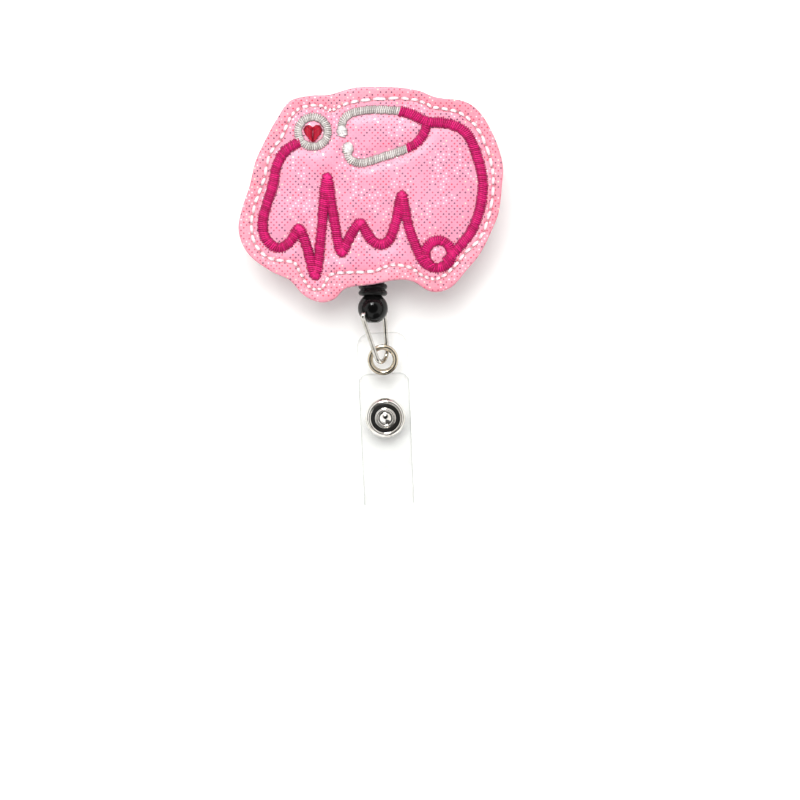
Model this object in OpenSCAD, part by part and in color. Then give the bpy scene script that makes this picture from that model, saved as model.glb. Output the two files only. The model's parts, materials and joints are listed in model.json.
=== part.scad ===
// Retractable badge reel with an embroidered vinyl topper.
// The reel lies face up: +Z is out of the topper, -Y is the way the cord pulls out,
// and the origin is on the spool axis, in the outer face of the swivel clip's lever.

/* [Case] */
// Outside diameter of the round case
case_d = 32; // [31.5:0.5:34]
// Front-to-back thickness of the closed case
case_t = 8.4; // [8.4:0.2:9.4]
// Wall thickness of the two case shells
wall = 1.4; // [1.3:0.1:1.5]
// Height of the case's back face above the clip lever's outer face
clip_h = 5.0; // [5:0.1:5.4]

/* [Spool and cord] */
// Radius of the spool's flanges
spool_r = 13.2; // [13:0.1:13.4]
// Radius of the drum that the cord winds on
drum_r = 9.9; // [9.9:0.05:10]
// Radius of the fixed spindle post
post_r = 2.4; // [2.3:0.05:2.4]
// Diameter of the braided cord
cord_d = 0.9; // [0.8:0.05:0.9]
// Turns in the spiral mainspring
spring_turns = 7; // [5:1:8]

/* [Bead and wire link] */
// Radius of the cord's end bead
bead_r = 3.23; // [3.1:0.01:3.25]
// Distance from the spool axis to the centre of the bead
bead_y = 24; // [23.9:0.05:24.1]
// Diameter of the link's wire
wire_d = 1.0; // [0.9:0.05:1.1]
// Half the distance between the link's two legs at the bead
link_half = 4.1; // [4.1:0.1:4.5]

/* [Strap] */
// Width of the clear strap
strap_w = 11; // [10:0.5:12]
// Thickness of the clear strap
strap_t = 0.5; // [0.4:0.05:0.5]
// Distance from the grommet to the outside of the strap's fold
strap_len = 32.4; // [30:0.2:36]
// Lean of the lying strap, raised at its grommet end, in degrees
strap_lean = 9; // [8:0.5:10]
// Turn of the lying strap to the right, in degrees
strap_turn = 2.5; // [0:0.5:4]

/* [Topper] */
// Thickness of the stiff backing layer
backing_t = 1.2; // [1:0.1:1.6]
// Thickness of the face layer of dotted vinyl
face_t = 0.9; // [0.7:0.1:1.2]
// Height of the satin stitching above the face
satin_h = 0.6; // [0.4:0.1:0.8]
// Width of the satin-stitched tube line
tube_w = 2.05; // [1.8:0.05:2.2]

/* [Clip] */
// Width of the clip's frame
clip_w = 9.2; // [9:0.1:10]
// Thickness of the clip's sheet steel
sheet = 0.6; // [0.5:0.05:0.6]

/* [Hidden] */
$fn = 48;

case_r = case_d / 2;
case_back = clip_h;
case_face = clip_h + case_t;
mid_z = (case_back + case_face) / 2;  // parting line, and height of the cord
boss_z = case_back - 0.3;             // raised pad that the clip turns on
nozzle_end = 18.6;                    // reach of the cord outlet from the spool axis
cord_r = cord_d / 2;
cord_hole_r = cord_r + 0.12;
wire_r = wire_d / 2;
rivet_r = 1.1;
rivet_top = 7.5;

// ---- helpers ----
function unit(v) = v / norm(v);

function arc(center, radius, start, end, steps = 8) =
  [for (i = [0:steps])
    let (angle = start + (end - start) * i / steps)
    center + radius * [cos(angle), sin(angle)]];

// The two rounded corners of a plate centred on x = 0, at its +Y or its -Y end
function top_corners(width, y, radius, steps) = concat(
  arc([width / 2 - radius, y - radius], radius, 0, 90, steps),
  arc([-width / 2 + radius, y - radius], radius, 90, 180, steps));
function bottom_corners(width, y, radius, steps) = concat(
  arc([-width / 2 + radius, y + radius], radius, 180, 270, steps),
  arc([width / 2 - radius, y + radius], radius, 270, 360, steps));

// Catmull-Rom curve from b to c, at t from 0 to 1
function curve_at(a, b, c, d, t) =
  0.5 * ((2 * b) + (c - a) * t + (2 * a - 5 * b + 4 * c - d) * t * t
    + (3 * b - a - 3 * c + d) * t * t * t);

// Catmull-Rom spline through points; closed joins the end to the start
function spline(points, steps, closed = false) =
  let (n = len(points), last = closed ? n - 1 : n - 2)
  concat(
    [for (i = [0:last]) for (j = [0:steps - 1])
      let (before = closed ? points[(i + n - 1) % n] : points[max(i - 1, 0)],
           after = closed ? points[(i + 2) % n] : points[min(i + 2, n - 1)])
      curve_at(before, points[i], points[(i + 1) % n], after, j / steps)],
    closed ? [] : [points[n - 1]]);

// Round tube along a 3-D path, as a closed polyhedron
module tube(path, radius, sides = 12) {
  n = len(path);
  tangents = [for (i = [0:n - 1]) unit(path[min(i + 1, n - 1)] - path[max(i - 1, 0)])];
  // a reference direction carried along the path keeps the rings from twisting
  first = unit(cross(tangents[0], abs(tangents[0][2]) < 0.9 ? [0, 0, 1] : [1, 0, 0]));
  ups = [for (i = 0, up = first; i < n; i = i + 1,
    up = i < n ? unit(up - (up * tangents[i]) * tangents[i]) : up) up];
  points = [for (i = [0:n - 1]) for (k = [0:sides - 1])
    let (angle = 360 * k / sides,
         up = unit(ups[i] - (ups[i] * tangents[i]) * tangents[i]),
         side = cross(tangents[i], up))
    path[i] + radius * (cos(angle) * up + sin(angle) * side)];
  walls = [for (i = [0:n - 2]) for (k = [0:sides - 1])
    let (next = (k + 1) % sides) each
    [[i * sides + k, (i + 1) * sides + k, (i + 1) * sides + next],
     [i * sides + k, (i + 1) * sides + next, i * sides + next]]];
  start_cap = [for (k = [0:sides - 1]) k];
  end_cap = [for (k = [sides - 1:-1:0]) (n - 1) * sides + k];
  polyhedron(points = points, faces = concat([start_cap], walls, [end_cap]));
}

// Flat ribbon of a given width along a 2-D path
module ribbon(path, width) {
  offset(r = width / 2, $fn = 20)
    for (i = [0:len(path) - 2])
      let (p = path[i], q = path[i + 1], run = q - p,
           side = 0.01 * [-run[1], run[0]] / norm(run))  // gives the segment some area
        polygon([p - side, q - side, q + side, p + side]);
}

// ---- case ----
front_inner_z = case_face - 1.3;   // inside of the front shell
lip_r = case_r - wall / 2;         // where the rear lip meets the front rebate
lip_h = 0.75;
lip_gap_w = 5.2;                   // gap in the rear lip at the cord outlet
nozzle_r = 2.5;
bore_r = 0.9;

// Half of the cord outlet's nozzle, in the 4 mm above base
module nozzle_half(base) intersection() {
  translate([0, -15, mid_z]) rotate([90, 0, 0]) cylinder(r = nozzle_r, h = nozzle_end - 15);
  translate([-5, -20, base]) cube([10, 8, 4]);
}

// Cord outlet's bore, flared at its inner end
module outlet_bore() {
  translate([0, -12, mid_z]) rotate([90, 0, 0]) cylinder(r = bore_r, h = nozzle_end + 1 - 12);
  translate([0, -14.2, mid_z]) rotate([90, 0, 0]) cylinder(r1 = 2.3, r2 = bore_r, h = 1.6);
}

module case_rear() color("#1c1c1d") {
  edge_r = 1.2;
  floor_z = case_back + wall;
  difference() {
    union() {
      rotate_extrude() polygon(concat(
        [[0, case_back]], arc([case_r - edge_r, case_back + edge_r], edge_r, -90, 0),
        [[case_r, mid_z], [lip_r - 0.05, mid_z], [lip_r - 0.05, mid_z + lip_h],
         [case_r - wall, mid_z + lip_h], [case_r - wall, floor_z], [0, floor_z]]));
      // pad the clip turns on
      translate([0, 0, boss_z]) cylinder(r = 5, h = 0.35);
      // spindle post
      translate([0, 0, floor_z - 0.1])
        cylinder(r = post_r, h = front_inner_z - 0.05 - floor_z + 0.1);
      nozzle_half(mid_z - 4);
    }
    // lip is cut away at the cord outlet
    translate([-lip_gap_w / 2, -case_r - 1, mid_z]) cube([lip_gap_w, 4, 1]);
    outlet_bore();
    // slot for the mainspring's inner end
    translate([-3, -0.25, 8.0]) cube([6, 0.5, 6]);
    // stepped blind hole for the clip rivet
    translate([0, 0, boss_z - 1]) {
      cylinder(r = rivet_r, h = rivet_top + 0.1 - boss_z + 1);
      cylinder(r = 1.6, h = 1.5);
    }
  }
}

module case_front() color("#1c1c1d") {
  edge_r = 1.8;
  rebate_r = lip_r + 0.02;
  rebate_z = mid_z + lip_h + 0.05;
  filler_w = lip_gap_w - 0.1;
  filler_h = 1.2;
  difference() {
    union() {
      rotate_extrude() polygon(concat(
        [[0, case_face]], arc([case_r - edge_r, case_face - edge_r], edge_r, 90, 0),
        [[case_r, mid_z], [rebate_r, mid_z], [rebate_r, rebate_z],
         [case_r - wall, rebate_z], [case_r - wall, front_inner_z], [0, front_inner_z]]));
      // collar that steadies the top of the post
      translate([0, 0, front_inner_z - 0.4]) difference() {
        cylinder(r = 3.8, h = 0.5);
        translate([0, 0, -1]) cylinder(r = post_r + 0.1, h = 1.4);
      }
      nozzle_half(mid_z);
      // the outlet's wall is closed where the rear lip stops
      intersection() {
        rotate_extrude() translate([case_r - wall, mid_z]) square([wall, filler_h]);
        translate([-filler_w / 2, -case_r - 1, mid_z]) cube([filler_w, 4, filler_h]);
      }
    }
    outlet_bore();
  }
}

// ---- spool and mainspring ----
spool_bottom = mid_z - 2.2;
spool_top = mid_z + 2.3;
cover_seat_r = 9.3;

module spool() color("#e9e7e0") {
  bore = post_r + 0.08;
  hub_r = post_r + 0.9;
  well_r = 9.0;       // recess that holds the mainspring
  well_floor = spool_bottom + 0.9;
  difference() {
    rotate_extrude() polygon([
      [bore, spool_bottom], [spool_r, spool_bottom], [spool_r, spool_bottom + 0.8],
      [drum_r, spool_bottom + 0.9], [drum_r, spool_top - 0.9], [spool_r, spool_top - 0.8],
      [spool_r, spool_top], [cover_seat_r, spool_top], [cover_seat_r, spool_top - 0.5],
      [well_r, spool_top - 0.5], [well_r, well_floor], [hub_r, well_floor],
      [hub_r, well_floor + 0.2], [bore, well_floor + 0.2]]);
    // notch that holds the mainspring's outer end
    translate([8.6, -0.4, well_floor + 0.05]) cube([0.9, 0.8, 2.9]);
  }
}

module spring_cover() color("#d8d6cf")
  translate([0, 0, spool_top - 0.48]) difference() {
    cylinder(r = cover_seat_r - 0.04, h = 0.46);
    translate([0, 0, -1]) cylinder(r = post_r + 0.2, h = 3);
  }

spring_half_t = 0.11;         // half the thickness of the spring strip
spring_in = post_r + 0.65;
spring_out = 8.75;
spring_steps = spring_turns * 24;

// One side of the spiral, shifted outward from its centreline
function spiral_side(shift) =
  [for (i = [1:spring_steps])
    let (angle = 360 * i / 24,
         radius = spring_in + (spring_out - spring_in) * i / spring_steps + shift)
    radius * [cos(angle), sin(angle)]];

module mainspring() color("#8d9096") {
  outer_side = spiral_side(spring_half_t);
  translate([0, 0, spool_bottom + 1.2]) linear_extrude(height = 2.5)
    polygon(concat(
      spiral_side(-spring_half_t),
      // tab at the outer end
      [[spring_out - spring_half_t, 0.15], [spring_out + 0.6, 0.15],
       [spring_out + 0.6, -0.07], [spring_out + spring_half_t, -0.07]],
      [for (i = [spring_steps - 2:-1:0]) outer_side[i]],
      // straight end through the post
      [[spring_in + spring_half_t, -spring_half_t], [-1.8, -spring_half_t],
       [-1.8, spring_half_t], [spring_in - spring_half_t, spring_half_t]]));
}

// ---- cord and bead ----
bead_center = [0, -bead_y, mid_z];

// Three layers of three turns
module cord_winding() color("#111111") {
  pitch = cord_d * 0.97;
  rotate_extrude() union() for (layer = [0:2], turn = [-1:1])
    translate([drum_r + 0.02 + cord_r + layer * pitch, mid_z + 0.05 + turn * pitch])
      circle(r = cord_r);
}

// From the winding, through the outlet, into the bead
module cord_lead() color("#111111") {
  bend = [[4.18, -12.41, mid_z], [1.5, -14.3, mid_z], [0.3, -15.5, mid_z], [0, -16.3, mid_z]];
  tube(concat(spline(bend, 4), [[0, -18, mid_z], [0, -bead_y + 1.2, mid_z]]), cord_r);
}

module cord_knot() color("#111111") translate(bead_center) sphere(r = 1.15);

// Ribbed ferrule at the end of the cord; its dished foot seats on the bead
module cord_stop() color("#161617") {
  rib_h = 1.32;
  round_r = 0.62;
  round_x = 3.1 - round_r;
  difference() {
    translate([0, -nozzle_end - 0.1, mid_z]) rotate([90, 0, 0]) rotate_extrude()
      polygon(concat(
        [[cord_hole_r, 0]],
        arc([round_x, round_r], round_r, -90, 0, 6),
        arc([round_x, rib_h - 0.68], round_r, 0, 70, 6),
        arc([round_x, rib_h + 0.68], round_r, -70, 0, 6),
        arc([round_x, 2 * rib_h - round_r], round_r, 0, 90, 6),
        [[cord_hole_r, 2 * rib_h]]));
    translate(bead_center) sphere(r = bead_r + 0.08);
  }
}

module bead() color("#151516") difference() {
  translate(bead_center) sphere(r = bead_r);
  // cavity for the knot, with the cord's hole on one side and a wider one opposite
  translate(bead_center) sphere(r = 1.4);
  translate(bead_center) rotate([-90, 0, 0]) cylinder(r = cord_hole_r, h = 5);
  translate(bead_center) rotate([90, 0, 0]) cylinder(r = 1.25, h = 5);
  // sockets for the link's two ends
  link_frame() for (side = [-1, 1])
    rotate([0, side * 90, 0]) translate([0, 0, 2.1]) cylinder(r = wire_r + 0.07, h = 3);
}

// ---- strap placement, and the link that joins bead and strap ----
grommet_center = [2.1, -34.9, 0.3 + (strap_len - 1.05) * sin(strap_lean)];
module strap_frame()
  translate(grommet_center) rotate([0, 0, strap_turn]) rotate([strap_lean, 0, 0]) children();

// where the wire's lowest bend sits inside the grommet, along the strap from its centre
seat = -0.3;
seat_flat = seat * cos(strap_lean);
seat_center = grommet_center
  + [-seat_flat * sin(strap_turn), seat_flat * cos(strap_turn), seat * sin(strap_lean)];

// link frame: X runs through the bead from socket to socket, -Y points to the grommet
link_len = norm(seat_center - bead_center);
link_dir = unit(seat_center - bead_center);
link_tilt = [-0.55, -0.36, 0.78];     // rough direction of X, squared up below
link_x = unit(link_tilt - (link_tilt * link_dir) * link_dir);
link_y = -link_dir;
link_z = cross(link_x, link_y);
module link_frame() multmatrix([
  for (i = [0:2]) [link_x[i], link_y[i], link_z[i], bead_center[i]],
  [0, 0, 0, 1]]) children();

module wire_link() color("#c9c7c2") {
  bend_r = 2.1;                 // centreline radius of the lowest bend
  corner_r = 0.7;               // centreline radius at the two corners
  bend_y = bend_r - link_len;   // centre of the lowest bend
  // angle at which each leg meets the bend
  lean = asin((link_half - bend_r) / norm([link_half - bend_r * 0.97, bend_y + corner_r]));
  half = concat(
    [[2.3, 0], [link_half - corner_r, 0]],
    [for (a = [72:-18:0]) [link_half - corner_r + corner_r * cos(a),
      -corner_r + corner_r * sin(a)]],
    [for (a = [-lean:-12:-89]) [bend_r * cos(a), bend_y + bend_r * sin(a)]]);
  path = concat(
    [for (p = half) [p[0], p[1], 0]],
    [[0, bend_y - bend_r, 0]],
    [for (i = [len(half) - 1:-1:0]) [-half[i][0], half[i][1], 0]]);
  link_frame() tube(path, wire_r, 14);
}

// ---- clear strap ----
strap_color = [0.92, 0.94, 0.94, 0.35];
strap_gap = 1.1;                    // room between the strap's two layers
front_z = strap_t + strap_gap;      // mid-height of the front layer above the back one
fold_out = front_z / 2 + strap_t / 2;
fold_in = front_z / 2 - strap_t / 2;
fold_y = -strap_len + fold_out;     // centre of the fold
snap_y = -12.4;

// Sheet of strap from the fold to end_y, rounded there
module strap_outline(end_y, corner_r)
  polygon(concat([[-strap_w / 2, fold_y], [strap_w / 2, fold_y]],
    top_corners(strap_w, end_y, corner_r, 6)));

module strap_layer(z)
  strap_frame() translate([0, 0, z - strap_t / 2]) linear_extrude(height = strap_t) children();

module strap_back() color(strap_color) strap_layer(0) difference() {
  strap_outline(6, 3);
  circle(r = 2.47);
  translate([0, snap_y]) circle(r = 1.05);
}

module strap_front() color(strap_color) strap_layer(front_z) difference() {
  strap_outline(-2.7, 2.2);
  translate([0, snap_y]) circle(r = 2.35);
}

module strap_fold() color(strap_color) strap_frame()
  translate([-strap_w / 2, fold_y, front_z / 2]) rotate([90, 0, 90]) difference() {
    cylinder(r = fold_out, h = strap_w);
    translate([0, 0, -1]) cylinder(r = fold_in, h = strap_w + 2);
    translate([0, -5, -1]) cube([10, 10, strap_w + 2]);
  }

// ---- grommet and snap: turned profiles, [radius, height above the back layer's middle] ----
module snap_frame() strap_frame() translate([0, snap_y, 0]) children();

module grommet() color("#a9a294") strap_frame() rotate_extrude() polygon(concat(
  [[2.1, -0.62], [2.2, -0.74], [2.72, -0.74], [2.97, -0.62], [2.92, -0.53], [2.42, -0.53],
   [2.42, 0.26], [3.2, 0.26]],
  arc([3.2, 0.4], 0.11, -60, 50, 4),
  [[3.14, 0.56], [3.0, 0.635], [2.84, 0.66], [2.64, 0.62], [2.46, 0.52], [2.3, 0.36],
   [2.2, 0.18], [2.13, -0.05]]));

module grommet_washer() color("#a9a294") strap_frame() rotate_extrude() polygon(
  [[2.44, -0.51], [3.1, -0.51], [3.32, -0.4], [3.32, -0.26], [2.44, -0.26]]);

module snap_post() color("#c4c2bd") snap_frame() rotate_extrude() polygon(concat(
  [[0, -0.95], [2.9, -0.95]],
  arc([3.2, -0.6], 0.35, -90, 0, 5),
  [[3.55, -0.26], [0.98, -0.26], [0.98, 1.2], [0, 1.2]]));

module snap_stud() color("#c4c2bd") snap_frame() rotate_extrude() polygon(concat(
  [[1.0, 0.26], [3.2, 0.26], [3.2, 0.5], [1.6, 0.55], [1.6, 1.5]],
  arc([1.2, 1.75], 0.55, -20, 90, 6),
  [[0, 2.3], [0, 1.25], [1.0, 1.25]]));

module snap_socket() color("#c4c2bd") {
  flange_top = front_z - strap_t / 2 - 0.01;   // just under the front layer
  snap_frame() rotate_extrude() polygon(
    [[1.98, 0.95], [3.2, 0.95], [3.4, 1.1], [3.4, flange_top], [2.3, flange_top],
     [2.3, 2.0], [1.98, 2.0]]);
}

// Pressed rings: a sloping rim, a flat groove, an inner ring and a dimpled nub
module snap_cap() color("#d6d4cf") snap_frame() rotate_extrude() polygon([
  [2.35, 1.86], [4.2, 1.86], [4.32, 1.98], [4.3, 2.14], [4.18, 2.36], [3.98, 2.6],
  [3.76, 2.78], [3.6, 2.85], [3.48, 2.83], [3.38, 2.68], [3.32, 2.52], [3.22, 2.46],
  [2.24, 2.44], [2.14, 2.5], [2.04, 2.62], [1.92, 2.71], [1.8, 2.73], [1.68, 2.7],
  [1.56, 2.6], [1.46, 2.48], [1.24, 2.47], [1.16, 2.56], [1.04, 2.7], [0.86, 2.83],
  [0.64, 2.91], [0.44, 2.93], [0.22, 2.89], [0, 2.82], [0, 2.36], [2.35, 2.36]]);

// ---- clip: jaws at the -Y end, thumb plate at the +Y end ----
pin_y = 6.0;
pin_z = 2.3;
base_z = boss_z - 0.05 - sheet;   // underside of the clip's base plate
lever_w = clip_w - 2 * sheet - 0.3;

// Y-Z outline extruded across the clip, centred on x = 0
module across(width)
  translate([-width / 2, 0, 0]) rotate([90, 0, 90]) linear_extrude(height = width) children();

// Pair of ears, flush with the sides of a part of the given width
module ears(width)
  for (side = [-1, 1]) translate([side * (width - sheet) / 2, 0, 0]) across(sheet) children();

module cross_hole(y, z, radius)
  translate([-10, y, z]) rotate([0, 90, 0]) cylinder(r = radius, h = 20);

// Row of teeth in the X-Z plane; the two jaws' rows mesh with a small gap
module teeth(z_root, z_even, z_odd) {
  half_w = clip_w / 2 - 0.6;
  polygon(concat(
    [[-half_w, z_root]],
    [for (i = [0:8]) [-half_w + 2 * half_w * i / 8, i % 2 == 0 ? z_even : z_odd]],
    [[half_w, z_root]]));
}

module clip_rivet() color("#b9b7b1") rotate_extrude() polygon([
  [0, base_z - 0.65], [2.3, base_z - 0.65], [2.6, base_z - 0.4], [2.6, base_z - 0.04],
  [1.55, base_z - 0.04], [1.55, boss_z + 0.45], [rivet_r, boss_z + 0.45],
  [rivet_r, rivet_top], [0, rivet_top]]);

module clip_frame() color("#bdbbb5") difference() {
  union() {
    // base plate against the case
    translate([0, 0, base_z]) linear_extrude(height = sheet) difference() {
      polygon(concat(bottom_corners(clip_w, -14, 2, 5),
        [[clip_w / 2, 8.6], [-clip_w / 2, 8.6]]));
      circle(r = 1.63);
    }
    // serrated lip at the jaw end
    translate([0, -13.4, 0]) rotate([90, 0, 0]) linear_extrude(height = 0.58)
      teeth(base_z + 0.1, 3.6, 3.1);
    // ears that carry the pin
    ears(clip_w) polygon(concat([[2.2, base_z + 0.1], [3.6, 2.2]],
      arc([pin_y, pin_z], 1.5, 200, 340), [[8.4, 2.4], [8.6, base_z + 0.1]]));
  }
  cross_hole(pin_y, pin_z, 0.78);
}

module clip_lever() color("#c3c1bb") difference() {
  union() {
    // flat thumb plate with rounded ends, sloping to the jaw tip
    intersection() {
      across(lever_w) polygon([
        [15.6, 0], [16.2, 0.35], [16.1, 0.8], [15.5, sheet], [-3.6, sheet], [-13.3, 2.35],
        [-13.3, 2.6], [-13.95, 2.6], [-13.95, 1.8], [-3.9, 0]]);
      linear_extrude(height = 4) polygon(concat(
        top_corners(lever_w, 16.2, 2.8, 8), bottom_corners(lever_w, -13.95, 0.8, 4)));
    }
    // serrated lip at the jaw end
    translate([0, -13.3, 0]) rotate([90, 0, 0]) linear_extrude(height = 0.6)
      intersection() {
        teeth(2.0, 3.45, 2.95);
        translate([-lever_w / 2 + 0.1, 0]) square([lever_w - 0.2, 6]);
      }
    // ears that turn on the pin
    ears(lever_w)
      polygon(concat([[2.6, 0.1], [9.4, 0.1]], arc([pin_y, pin_z], 1.35, -10, 190, 10)));
  }
  cross_hole(pin_y, pin_z, 0.78);
  // grip grooves across the thumb end
  for (y = [10.6:0.95:14.6]) cross_hole(y, -0.16, 0.34, $fn = 24);
}

// Pin with a head at each end
module clip_pin() color("#cfcdc7")
  translate([-clip_w / 2 - 0.45, pin_y, pin_z]) rotate([0, 90, 0]) {
    cylinder(r = 0.72, h = clip_w + 0.9);
    for (x = [0, clip_w + 0.5]) translate([0, 0, x]) cylinder(r = 1.05, h = 0.4);
  }

// Coil round the pin, with a straight leg at each end
module clip_spring() color("#9a9ca0") {
  coil_r = 1.2;
  turns = 3.5;
  steps = 56;
  half_w = 1.35;
  coil = [for (i = [1:steps - 1])
    let (angle = 90 + 360 * turns * i / steps)
    [-half_w + 2 * half_w * i / steps, pin_y - coil_r * cos(angle),
     pin_z + coil_r * sin(angle)]];
  tube(concat(
    [[-half_w, pin_y - 2.9, pin_z + 1.12], [-half_w, pin_y - 1.0, pin_z + 1.18]],
    coil,
    [[half_w, pin_y - 1.0, pin_z - 1.2], [half_w, pin_y - 5.6, pin_z - 1.22]]), 0.28, 8);
}

// ---- embroidered topper; all outlines and paths are [x, y] ----
glue_t = 0.4;
backing_z = case_face + glue_t;
face_z = backing_z + backing_t;
stitch_z = face_z + face_t;       // face of the vinyl

// cut edge, counterclockwise seen from +Z, from the +X side
edge_pts = [
  [27.2, 1], [27.4, 6], [25.5, 12], [22.5, 17], [19, 19.3], [13.5, 20], [9.5, 21.5],
  [4, 22.2], [-3.5, 22.1], [-9, 20.6], [-13, 20.4], [-17.3, 19.3], [-19.8, 16],
  [-22.3, 11.5], [-24.6, 6.5], [-25.8, 1.5], [-27.6, -4], [-28.1, -8.5], [-26, -13],
  [-21.5, -16.4], [-17.5, -18.3], [-14.5, -21.5], [-11, -23], [-8, -22.3], [-5.5, -20],
  [0, -19.2], [5, -18.3], [8.5, -18.6], [12.5, -20.8], [16.5, -19.9], [19.8, -16.3],
  [22.8, -12.6], [25.3, -7.5], [26.6, -4]];
// line of edge stitching, the same way round
seam_pts = [
  [25.4, 1.5], [25, 6], [23.2, 11.5], [20.8, 15], [17.4, 17.2], [13, 17.8], [9.8, 19.3],
  [5, 19.8], [-2, 19.4], [-6.4, 18.3], [-8.8, 17.2], [-11, 18.3], [-15, 17.8],
  [-17.4, 15.6], [-19, 11.6], [-21.6, 8], [-22.8, 2.6], [-24.4, -1.8], [-25.5, -6.6],
  [-24.4, -11.4], [-21, -14.1], [-16.6, -14.6], [-15, -17.2], [-13.2, -20],
  [-10.6, -20.2], [-8.8, -17.2], [-4.4, -16.8], [0.6, -16.5], [4, -15.2], [8, -15.8],
  [10.8, -17.6], [13.6, -18.2], [16.6, -16.2], [19.4, -12.8], [22.8, -9.4], [24.6, -4.4]];
// the tube leaves the chest piece, draws a heartbeat trace and loops once
tube_pts = [
  [-15.4, 10.6], [-18.3, 8.8], [-20.2, 5.4], [-20.8, 2], [-22, -2], [-23.1, -6],
  [-22.4, -9.8], [-19.6, -11.7], [-17, -10], [-15.4, -7.6], [-13.7, -11.6],
  [-11.9, -17.4], [-10.7, -8], [-9.6, 3.2], [-8.2, -5], [-6.6, -12.4], [-4.9, -9.6],
  [-2.6, -6.4], [-0.4, -9.8], [1.8, -11], [3.6, -9.8], [5, -6], [6.2, -0.6], [7.4, -6.4],
  [9.2, -11.4], [11, -14.8], [13.8, -15.9], [16.3, -14.4], [16.4, -11.6], [14.2, -10],
  [11.8, -11], [11.1, -13.6], [12.6, -15.7]];
// then it rises to the yoke
rise_pts = [
  [15.4, -14.6], [18.4, -11.2], [20.8, -8.2], [22.6, -3.4], [23.2, 2.4], [21.8, 8.3],
  [19.6, 12.6], [15.9, 14.5], [11.4, 14.9], [8.4, 16.4], [5.2, 17.2]];
yoke_pts = [[11.4, 14.6], [11, 12.8], [9.5, 10.6], [6.8, 9]];
// ear tubes, and their tips as [centre, radius]
upper_ear = [[5.2, 17.2], [0, 17.5], [-4.4, 17], [-6.4, 15.6], [-6.5, 13.4]];
lower_ear = [[6.8, 9], [2.3, 7.5], [-2, 6.2], [-4.7, 7], [-5.4, 8.8]];
upper_tip = [[-6.3, 12.7], 1.25];
lower_tip = [[-5.1, 9.4], 1.2];
// chest piece
chest_center = [-12.5, 12.75];
chest_r = 3.95;
heart_pts = [
  [0, -2.0], [1.5, -0.3], [1.95, 0.7], [1.4, 1.5], [0.6, 1.6], [0, 1.0], [-0.6, 1.6],
  [-1.4, 1.5], [-1.95, 0.7], [-1.5, -0.3]];

module topper_layer(z, thickness)
  translate([0, 0, z]) linear_extrude(height = thickness) polygon(spline(edge_pts, 4, true));

module satin() translate([0, 0, stitch_z]) linear_extrude(height = satin_h) children();

module disc(tip, grow = 0) translate(tip[0]) circle(r = tip[1] + grow);

// Ear tube, cut clear of the tube it joins and of its own tip
module ear_tube(path, joined, tip) difference() {
  ribbon(spline(path, 4), 1.7);
  ribbon(spline(joined, 4), tube_w + 0.1);
  disc(tip, 0.1);
}

module glue_pad() color("#d9d2b8") translate([0, 0, case_face]) cylinder(r = 12.5, h = glue_t);
module topper_backing() color("#e7a5b6") topper_layer(backing_z, backing_t);
module topper_face() color("#f9b4c7") topper_layer(face_z, face_t);

// Running stitches: one for every third point along the seam line
module edge_stitching() color("#fdeef2") {
  seam = spline(seam_pts, 7, true);
  stitch_w = 0.6;
  fill = 0.76;      // share of each span that the stitch covers
  for (i = [0:3:len(seam) - 1])
    let (start = seam[i], end = seam[(i + 3) % len(seam)],
         middle = (start + end) / 2, run = end - start, length = norm(run) * fill)
      translate([middle[0], middle[1], stitch_z]) rotate([0, 0, atan2(run[1], run[0])])
        translate([-length / 2, -stitch_w / 2, 0]) cube([length, stitch_w, 0.35]);
}

module satin_tube() color("#c92468") satin() difference() {
  union() for (path = [tube_pts, rise_pts, yoke_pts]) ribbon(spline(path, 4), tube_w);
  translate(chest_center) circle(r = chest_r + 0.1);
}

module satin_silver() color("#cfc8bf") satin() {
  translate(chest_center) difference() {
    circle(r = chest_r);
    circle(r = 2.35);
  }
  ear_tube(upper_ear, rise_pts, upper_tip);
  ear_tube(lower_ear, yoke_pts, lower_tip);
}

module satin_white() color("#fbf8f5") satin() {
  disc(upper_tip);
  disc(lower_tip);
}

module satin_heart() color("#be0a3c") satin() translate(chest_center) polygon(heart_pts);

case_rear();
case_front();
spool();
spring_cover();
mainspring();
cord_winding();
cord_lead();
cord_knot();
cord_stop();
bead();
wire_link();
strap_back();
strap_fold();
strap_front();
grommet();
grommet_washer();
snap_post();
snap_stud();
snap_socket();
snap_cap();
clip_rivet();
clip_frame();
clip_lever();
clip_pin();
clip_spring();
glue_pad();
topper_backing();
topper_face();
edge_stitching();
satin_tube();
satin_silver();
satin_white();
satin_heart();
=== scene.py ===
"""A retractable reel with an embroidered vinyl topper, a wire link and a clear strap.

It lies flat in XY with the topper facing +Z; the cord, link and strap run towards -Y.
Shapes are worked out in millimetres and scaled by MM when they become meshes.
"""

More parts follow.
